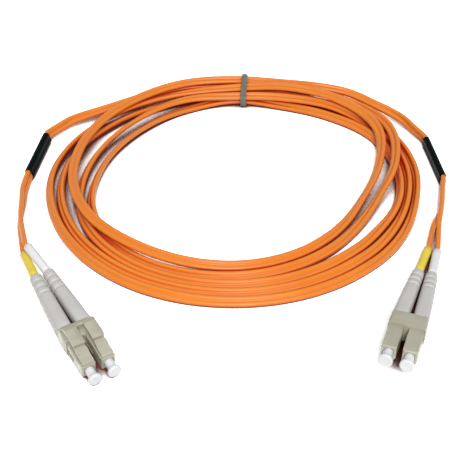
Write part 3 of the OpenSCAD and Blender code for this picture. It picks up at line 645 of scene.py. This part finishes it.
# ---- the zip cord ----
def zip_cord():
    """The whole cord between the two heat-shrinks: both leads and the tied coil."""
    path, leans = zip_route()

    def side_of(t, i):
        o = outward(t)
        lean = radians(leans[i])
        return o * cos(lean) + t.cross(o) * sin(lean)

    section = zip_section()
    rings = sweep_rings(path, section, side_of)
    mesh = rings_mesh("zip_cord", [place(ring) for ring in rings])
    jacket_values(mesh, path, len(section), JACKET_LINES)
    # how deep in the valley each point lies, the mask of the painted shade there
    deep = [max(0.0, 1 - abs(x) / VALLEY_HALF) for x, _ in section]
    point_values(mesh, "valley", deep * len(path))
    piece = link("zip_cord", mesh, ZIP_JACKET)
    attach(piece, "cord")
    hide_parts("coil", "lead_a", "lead_b")
    return piece, [p * MM for p in path]


ZIP_CORD, ZIP_PATH = zip_cord()


# ---- the single legs ----
LEG_SIDES = 20


def single_leg(end, number):
    side = SIDES[number]
    path = leg_route(end, side)
    section = circle(LEG_R, LEG_SIDES)
    rings = sweep_rings(path, section, lambda t, i: outward(t))
    name = "leg_jacket_" + end + number
    mesh = rings_mesh(name, [place(ring) for ring in rings])
    jacket_values(mesh, path, LEG_SIDES, JACKET_LINES / 2)
    piece = link(name, mesh, LEG_JACKET)
    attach(piece, "cord")
    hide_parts("leg_" + end + number)
    return piece, [p * MM for p in path]


LEGS = {end + number: single_leg(end, number) for end in ENDS for number in SIDES}


# ---- pieces on the cord ----
SHRINK_HALF = HALF_ZIP + SHRINK_ROOM
SHRINK_IN = LEG_R + SHRINK_ROOM
SHRINK_OUT = SHRINK_IN + SHRINK_WALL
SHRINK_EDGE = 0.12
SHRINK_WAIST = 0.12
SHRINK_RIPPLE = 0.008
SHRINK_STATIONS = 30


def shrink_section(r, waist, ripple):
    """Outline of the heat-shrink, with points along its flat sides too."""
    out = []
    steps = 14
    flat = 8
    for hand in (1, -1):
        for k in range(steps + 1):
            a = mix(-pi / 2, pi / 2, k / steps)
            out.append((hand * (SHRINK_HALF + r * cos(a)), hand * r * sin(a)))
        for k in range(1, flat):
            x = mix(hand * SHRINK_HALF, -hand * SHRINK_HALF, k / flat)
            dip = waist * (1 - (x / SHRINK_HALF) ** 2)
            out.append((x, hand * (r - dip)))
    return [(x * (1 - ripple), y * (1 - ripple)) for x, y in out]


def heat_shrink(end):
    near, far = SHRINK[end]
    total = SHRINK_LEN
    edge = SHRINK_EDGE
    outer = [(0, -edge), (0.05, -0.06), (edge, 0)]
    outer += [(mix(edge, total - edge, k / SHRINK_STATIONS), 0)
              for k in range(1, SHRINK_STATIONS)]
    outer += [(total - edge, 0), (total - 0.05, -0.06), (total, -edge)]
    rings = []
    axis = unit(far - near)
    roll = radians(-SHRINK_ROLL[end] if end == "a" else SHRINK_ROLL[end])
    w = outward(axis) * cos(roll) + axis.cross(outward(axis)) * sin(roll)
    n = axis.cross(w)

    def ring(x, r, waist, ripple):
        return [near + axis * x + w * p + n * q for p, q in shrink_section(r, waist, ripple)]

    for x, drop in outer:
        wave = sin(x * 2.1) * sin(x * 0.7 + 1) if drop == 0 else 0
        rings.append(ring(x, SHRINK_OUT + drop, SHRINK_WAIST, SHRINK_RIPPLE * (1 + wave)))
    for x in (total, total - 0.1, total / 2, 0.1, 0):
        rings.append(ring(x, SHRINK_IN, 0.04, 0))
    name = "shrink_sleeve_" + end
    piece = link(name, rings_mesh(name, [place(r) for r in rings], closed=True), SHRINK_BLACK)
    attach(piece, "cord")
    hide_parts("heat_shrink_" + end)
    return piece


SHRINKS = {end: heat_shrink(end) for end in ENDS}


SLEEVE_SIDES = 28


def id_sleeve(end, number):
    """Coloured tube on one leg, just behind its boot."""
    side = SIDES[number]
    rear = Vector((-BOOT_REAR, side * boot_off(), 0))
    d = sleeve_dir(end, side)
    first = rear + d * SLEEVE_GAP
    inner = LEG_R + SLEEVE_ROOM
    edge = SLEEVE_EDGE
    profile = [(0, inner + edge), (0, SLEEVE_R - edge), (edge, SLEEVE_R)]
    profile += [(SLEEVE_LEN * k / 6, SLEEVE_R - SLEEVE_WAIST * sin(pi * k / 6))
                for k in range(1, 6)]
    profile += [(SLEEVE_LEN - edge, SLEEVE_R), (SLEEVE_LEN, SLEEVE_R - edge),
                (SLEEVE_LEN, inner + edge), (SLEEVE_LEN - edge, inner), (edge, inner)]
    w = unit(d.cross(Vector((0, 0, 1))))
    n = d.cross(w)
    rings = [[first + d * x + w * p + n * q for p, q in circle(r, SLEEVE_SIDES)]
             for x, r in profile]
    name = "id_tube_" + end + number
    white = (end + number) in ("a1", "b2")
    mesh = rings_mesh(name, [place(r, plug_matrix(end)) for r in rings], closed=True)
    piece = link(name, mesh, SLEEVE_WHITE if white else SLEEVE_YELLOW)
    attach(piece, "cord")
    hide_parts("id_sleeve_" + end + number)
    return piece


SLEEVES = {key: id_sleeve(key[0], key[1]) for key in LEGS}

TIE_MID = (-0.3, 0.35)
TIE_ROOM = 0.35
TIE_W = 2.3
TIE_T = 0.45
TIE_SLACK = 0.3
TIE_CORNER = 1.2
TIE_CORNER_STEPS = 8


def tie_band():
    """Twist tie round the bundle: a flat strip, raised along its middle where its wire lies."""
    mid_r = TIE_R + LAYER_GAP / 2 * sin(radians(TIE_LEAN))
    mid_z = TIE_Z - LAYER_GAP / 2 * cos(radians(TIE_LEAN))
    half_w = LANE_PITCH + ZIP_W / 2 + TIE_ROOM
    half_h = LAYER_GAP / 2 + LEG_R + TIE_SLACK + TIE_ROOM
    r = TIE_CORNER
    loop = []
    for cx, cy, start in ((1, 1, 0), (-1, 1, 90), (-1, -1, 180), (1, -1, 270)):
        for k in range(TIE_CORNER_STEPS + 1):
            a = radians(start + 90 * k / TIE_CORNER_STEPS)
            loop.append((cx * (half_w - r), cy * (half_h - r), cos(a), sin(a)))
    half = TIE_W / 2
    section = [(-half, 0.05), (-half + 0.04, 0.22), (-0.45, 0.25), (-0.25, 0.38), (0, TIE_T),
               (0.25, 0.38), (0.45, 0.25), (half - 0.04, 0.22), (half, 0.05), (half - 0.06, 0),
               (-half + 0.06, 0)]
    matrix = (Matrix.Translation(COIL_MIDDLE) @ Matrix.Rotation(-radians(TIE_AT), 4, "Z")
              @ Matrix.Translation((0, mid_r, mid_z)) @ Matrix.Rotation(radians(TIE_LEAN), 4, "X")
              @ Matrix.Translation((0, TIE_MID[0], TIE_MID[1])))
    rings = [[Vector((s, cx + (r + t) * nx, cy + (r + t) * ny)) for s, t in section]
             for cx, cy, nx, ny in loop]
    piece = link("tie_band", rings_mesh("tie_band", [place(g, matrix) for g in rings], closed=True),
                 TIE_GREY)
    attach(piece, "cord")
    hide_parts("tie")
    return piece


TIE = tie_band()


# ---- boots ----
BOOT_FRONT_R = 2.5
BOOT_REAR_R = 2.0
GROOVES = (17.0, 19.8, 22.6)
BOOT_SIDES = 60
BOOT_BORE_R = LEG_R + 0.12
BOOT_MOUTH_R = 1.12
CRIMP_ROOM_R = 1.95
BODY_ROOM_R = 2.2
BODY_ROOM_TO = 17.2
GROOVE_SHAPE = [(-0.62, 0), (-0.54, 0.03), (-0.46, 0.15), (-0.38, 0.2), (0.38, 0.2),
                (0.46, 0.15), (0.54, 0.03), (0.62, 0)]


def boot_shape(x):
    """Half width and squareness of the boot at a distance from its front."""
    far = x / BOOT_LEN
    return BOOT_FRONT_R - (BOOT_FRONT_R - BOOT_REAR_R) * far ** 1.5, 3.4 - 1.4 * far


def boot_stations():
    """Distance and drop below the boot's plain surface, front to rear."""
    rows = [(0, 0.22), (0.06, 0.09), (0.2, 0.0)]
    rows += [(x, 0.0) for x in (2, 4, 6, 8, 10, 12, 14, 16)]
    for centre in GROOVES:
        rows += [(centre + x, drop) for x, drop in GROOVE_SHAPE]
    rows += [(23.8, 0), (24.6, 0), (25.4, 0), (25.65, 0.05), (25.78, 0.14), (25.8, 0.26)]
    return rows


def squircle(r, n, count):
    """Outline between a circle (n = 2) and a square (n large)."""
    out = []
    for j in range(count):
        t = 2 * pi * (j + 0.5) / count
        c, s = cos(t), sin(t)
        k = (abs(c) ** n + abs(s) ** n) ** (-1 / n)
        out.append((r * k * c, r * k * s))
    return out


def boot(end, number):
    side = SIDES[number]
    rings = []
    for x, drop in boot_stations():
        half, square = boot_shape(x)
        rings.append([Vector((-BOOT_FRONT - x, y, z))
                      for y, z in squircle(half - drop, square, BOOT_SIDES)])
    bore = [(BOOT_REAR, BOOT_MOUTH_R), (BOOT_REAR - 0.1, BOOT_BORE_R), (CRIMP_REAR, BOOT_BORE_R),
            (CRIMP_REAR, CRIMP_ROOM_R), (BODY_ROOM_TO, CRIMP_ROOM_R),
            (BODY_ROOM_TO, BODY_ROOM_R), (BOOT_FRONT, BODY_ROOM_R)]
    rings += [[Vector((-x, y, z)) for y, z in circle(r, BOOT_SIDES, 0.5)] for x, r in bore]
    name = "boot_shell_" + end + number
    matrix = plug_matrix(end, side) @ toed(side)
    piece = link(name, rings_mesh(name, [place(r, matrix) for r in rings], closed=True), BOOT_GREY)
    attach(piece, "cord")
    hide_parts("boot_" + end + number)
    return piece


# ---- dust caps ----
CAP_SIDES = 40
# distance behind the nose front and radius: flared end, tube, then the bore for the ferrule
CAP_PROFILE = [
    (-4.30, 0.35), (-4.30, 1.2), (-4.38, 1.55), (-4.40, 1.75), (-4.36, 1.95), (-4.24, 2.09),
    (-4.05, 2.15), (-3.50, 2.15), (-3.34, 2.10), (-3.22, 1.96), (-3.12, 1.74), (-2.9, 1.56),
    (-2.5, 1.47), (-1.6, 1.45), (-0.6, 1.45), (2.28, 1.45), (2.4, 1.36), (2.4, 0.74),
    (2.32, 0.645), (0, 0.645), (-2.2, 0.645), (-2.2, 0.2)]


def dust_cap(end, number):
    name = "cap_shell_" + end + number
    rings = turned_rings(CAP_PROFILE, CAP_SIDES)
    matrix = plug_matrix(end, SIDES[number])
    piece = link(name, rings_mesh(name, [place(r, matrix) for r in rings]), CAP_WHITE)
    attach(piece, "cap_" + end + number)
    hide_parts("dust_cap_" + end + number)
    return piece


# ---- ferrule springs: a wire wound by geometry nodes ----
SPRING_FROM = 5.4
SPRING_TO = 11.4
SPRING_TURNS = 7
SPRING_WIRE = 0.3
FLANGE_TAIL_R = 0.7
SPRING_ROOM = 0.125
SPRING_R = FLANGE_TAIL_R + SPRING_ROOM + SPRING_WIRE / 2
SPRING_STEPS = 24
WIRE_SIDES = 10


def make_winding():
    """Node tree: a round wire wound along Z, from its sizes as inputs."""
    tree = bpy.data.node_groups.new("wound_wire", "GeometryNodeTree")
    for name, kind in (("Turns", "NodeSocketFloat"), ("Coil radius", "NodeSocketFloat"),
                       ("Length", "NodeSocketFloat"), ("Wire radius", "NodeSocketFloat"),
                       ("Material", "NodeSocketMaterial")):
        socket_in(tree, name, kind)
    tree.interface.new_socket("Geometry", in_out="OUTPUT", socket_type="NodeSocketGeometry")
    nodes, links = tree.nodes, tree.links
    inside = nodes.new("NodeGroupInput")
    outside = nodes.new("NodeGroupOutput")
    spiral = nodes.new("GeometryNodeCurveSpiral")
    spiral.inputs["Resolution"].default_value = SPRING_STEPS
    spiral.inputs["Reverse"].default_value = True
    for target, name in (("Rotations", "Turns"), ("Start Radius", "Coil radius"),
                         ("End Radius", "Coil radius"), ("Height", "Length")):
        links.new(inside.outputs[name], spiral.inputs[target])
    wire = nodes.new("GeometryNodeCurvePrimitiveCircle")
    wire.inputs["Resolution"].default_value = WIRE_SIDES
    links.new(inside.outputs["Wire radius"], wire.inputs["Radius"])
    tube = nodes.new("GeometryNodeCurveToMesh")
    tube.inputs["Fill Caps"].default_value = True
    links.new(spiral.outputs["Curve"], tube.inputs["Curve"])
    links.new(wire.outputs["Curve"], tube.inputs["Profile Curve"])
    smooth = nodes.new("GeometryNodeSetShadeSmooth")
    links.new(tube.outputs["Mesh"], smooth.inputs["Geometry"])
    realize = nodes.new("GeometryNodeRealizeInstances")
    links.new(smooth.outputs["Geometry"], realize.inputs["Geometry"])
    paint = nodes.new("GeometryNodeSetMaterial")
    links.new(realize.outputs["Geometry"], paint.inputs["Geometry"])
    links.new(inside.outputs["Material"], paint.inputs["Material"])
    links.new(paint.outputs["Geometry"], outside.inputs["Geometry"])
    return tree


def wound_mesh():
    """The winding as a plain mesh, in metres along Z from zero."""
    carrier = bpy.data.objects.new("winding", bpy.data.meshes.new("winding"))
    bpy.context.scene.collection.objects.link(carrier)
    tree = make_winding()
    modifier = carrier.modifiers.new("winding", "NODES")
    modifier.node_group = tree
    values = {"Turns": float(SPRING_TURNS), "Coil radius": SPRING_R * MM,
              "Length": (SPRING_TO - SPRING_FROM - SPRING_WIRE) * MM,
              "Wire radius": SPRING_WIRE / 2 * MM, "Material": SPRING_STEEL}
    for item in tree.interface.items_tree:
        if item.name in values:
            modifier[item.identifier] = values[item.name]
    graph = bpy.context.evaluated_depsgraph_get()
    mesh = bpy.data.meshes.new_from_object(carrier.evaluated_get(graph))
    bpy.data.objects.remove(carrier)
    return mesh


WINDING = wound_mesh()


def spring(end, number):
    name = "spring_wire_" + end + number
    mesh = WINDING.copy()
    mesh.name = name
    start = Matrix.Translation((-SPRING_FROM - SPRING_WIRE / 2, 0, 0))
    metres = Matrix.Scale(MM, 4) @ plug_matrix(end, SIDES[number]) @ start
    mesh.transform(metres @ Matrix.Rotation(radians(-90), 4, "Y") @ Matrix.Scale(1 / MM, 4))
    piece = link(name, mesh, None)
    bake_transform(piece)
    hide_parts("ferrule_spring_" + end + number)
    return piece


# ---- moulded pieces: the solid with its edges broken ----
CLIP_EDGE = 0.24
TRIGGER_EDGE = 0.16
NOSE_EDGE = 0.18
MERGE_WITHIN = 0.002
EDGE_FROM = 32
SHARP_LATCH_EDGE = 20


def broken_edges(node, name, body, width_mm, material):
    """A copy of a solid, its loose triangles merged, with small round edges."""
    mesh = NODES[node].data.copy()
    mesh.materials.clear()
    bm = bmesh.new()
    bm.from_mesh(mesh)
    bmesh.ops.remove_doubles(bm, verts=bm.verts, dist=MERGE_WITHIN * MM)
    bmesh.ops.dissolve_limit(bm, angle_limit=radians(1), verts=bm.verts, edges=bm.edges)
    bm.to_mesh(mesh)
    bm.free()
    mesh.shade_smooth()
    piece = link(name, mesh, material)
    if width_mm:
        bevel = piece.modifiers.new("edges", "BEVEL")
        bevel.width = width_mm * MM
        bevel.segments = 3
        bevel.limit_method = "ANGLE"
        bevel.angle_limit = radians(EDGE_FROM)
        bevel.harden_normals = True
    else:
        mesh.set_sharp_from_angle(angle=radians(SHARP_LATCH_EDGE))
    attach(piece, body)
    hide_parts(node)
    return piece


def plug(end):
    broken_edges("duplex_clip_" + end, "clip_shell_" + end, "cord", CLIP_EDGE, BEIGE)
    broken_edges("clip_trigger_" + end, "trigger_plate_" + end, "trigger_" + end, TRIGGER_EDGE,
                 BEIGE)
    for number in SIDES:
        key = end + number
        broken_edges("plug_housing_" + key, "nose_shell_" + key, "cord", NOSE_EDGE, BEIGE)
        broken_edges("latch_arm_" + key, "latch_bar_" + key, "latch_" + key, 0, BEIGE)
        boot(end, number)
        dust_cap(end, number)
        for node, material in (("ferrule_", CERAMIC), ("ferrule_flange_", NICKEL),
                               ("fibre_", BUFFER), ("rear_body_", NICKEL),
                               ("crimp_sleeve_", CRIMP)):
            cad = NODES[node + key]
            cad.data.materials.clear()
            cad.data.materials.append(material)
        spring(end, number)


for plug_end in ENDS:
    plug(plug_end)


# ---- studio ----
FLOOR_HALF_M = 1.5
FLOOR_DROP = 0.02
FLOOR_SEEN = (2.4, 2.4, 2.4, 1)
FLOOR_LIT = (0.4, 0.4, 0.4, 1)
# painted shade on the floor: dark maroon where the cord crowds it, then the reach and range of that
# occlusion
FLOOR_PAINTED_SHADE = (0.16, 0.045, 0.03, 1)
FLOOR_REACH = 14
FLOOR_SHUT = 0.33
FLOOR_OPEN = 0.58
SKY_LIGHT = 0.26
SKY_SEEN = 1.0
LAMPS_AIM = (0, 0.04, 0)


def area_light(name, place_m, size, power, colour):
    data = bpy.data.lights.new(name, "AREA")
    data.shape = "DISK"
    data.size = size
    data.energy = power
    data.color = colour
    lamp = bpy.data.objects.new(name, data)
    bpy.context.scene.collection.objects.link(lamp)
    lamp.location = place_m
    lamp.rotation_euler = (Vector(LAMPS_AIM) - Vector(place_m)).to_track_quat("-Z", "Y").to_euler()


def sees_backdrop(tree):
    """1 for the rays that show the backdrop: to the eye, in gloss and through clear things."""
    path = tree.nodes.new("ShaderNodeLightPath")
    total = path.outputs["Is Camera Ray"]
    for name in ("Is Glossy Ray", "Is Transmission Ray"):
        either = tree.nodes.new("ShaderNodeMath")
        either.operation = "MAXIMUM"
        tree.links.new(total, either.inputs[0])
        tree.links.new(path.outputs[name], either.inputs[1])
        total = either.outputs[0]
    return total


def make_floor():
    """A pale sheet, brighter to the eye than to the light that it throws back, with painted shade,
    dark maroon, where the cord crowds it.
    """
    half = FLOOR_HALF_M
    low = -FLOOR_DROP * MM
    mesh = bpy.data.meshes.new("floor")
    mesh.from_pydata([(-half, -half, low), (half, -half, low), (half, half, low),
                      (-half, half, low)], [], [(0, 1, 2, 3)])
    material = bpy.data.materials.new("pale_floor")
    material.use_nodes = True
    tree = material.node_tree
    tree.nodes.remove(tree.nodes["Principled BSDF"])
    paper = tree.nodes.new("ShaderNodeBsdfDiffuse")
    # painted shade: ambient occlusion darkens the floor's colour for the eye where the cord crowds
    # it
    reach = tree.nodes.new("ShaderNodeAmbientOcclusion")
    reach.samples = 16
    reach.inputs["Distance"].default_value = FLOOR_REACH * MM
    open_air = tree.nodes.new("ShaderNodeMapRange")
    open_air.inputs["From Min"].default_value = FLOOR_SHUT
    open_air.inputs["From Max"].default_value = FLOOR_OPEN
    tree.links.new(reach.outputs["AO"], open_air.inputs["Value"])
    seen = tree.nodes.new("ShaderNodeMix")
    seen.data_type = "RGBA"
    seen.inputs[6].default_value = FLOOR_PAINTED_SHADE
    seen.inputs[7].default_value = FLOOR_SEEN
    tree.links.new(open_air.outputs["Result"], seen.inputs[0])
    tone = tree.nodes.new("ShaderNodeMix")
    tone.data_type = "RGBA"
    tone.inputs[6].default_value = FLOOR_LIT
    tree.links.new(sees_backdrop(tree), tone.inputs[0])
    tree.links.new(seen.outputs[2], tone.inputs[7])
    tree.links.new(tone.outputs[2], paper.inputs["Color"])
    tree.links.new(paper.outputs[0], tree.nodes["Material Output"].inputs["Surface"])
    link("floor", mesh, material)


def make_world():
    world = bpy.data.worlds.new("studio")
    bpy.context.scene.world = world
    world.use_nodes = True
    tree = world.node_tree
    sky = tree.nodes["Background"]
    sky.inputs["Color"].default_value = (1, 1, 1, 1)
    strength = tree.nodes.new("ShaderNodeMapRange")
    strength.inputs["To Min"].default_value = SKY_LIGHT
    strength.inputs["To Max"].default_value = SKY_SEEN
    tree.links.new(sees_backdrop(tree), strength.inputs["Value"])
    tree.links.new(strength.outputs["Result"], sky.inputs["Strength"])


make_floor()
make_world()
area_light("key", (0.10, -0.72, 0.70), 0.35, 9.4, (1.0, 0.985, 0.96))
area_light("fill", (-0.1, 0.25, 0.9), 0.6, 1.5, (0.96, 0.98, 1.0))
bpy.context.scene.view_settings.view_transform = "Standard"
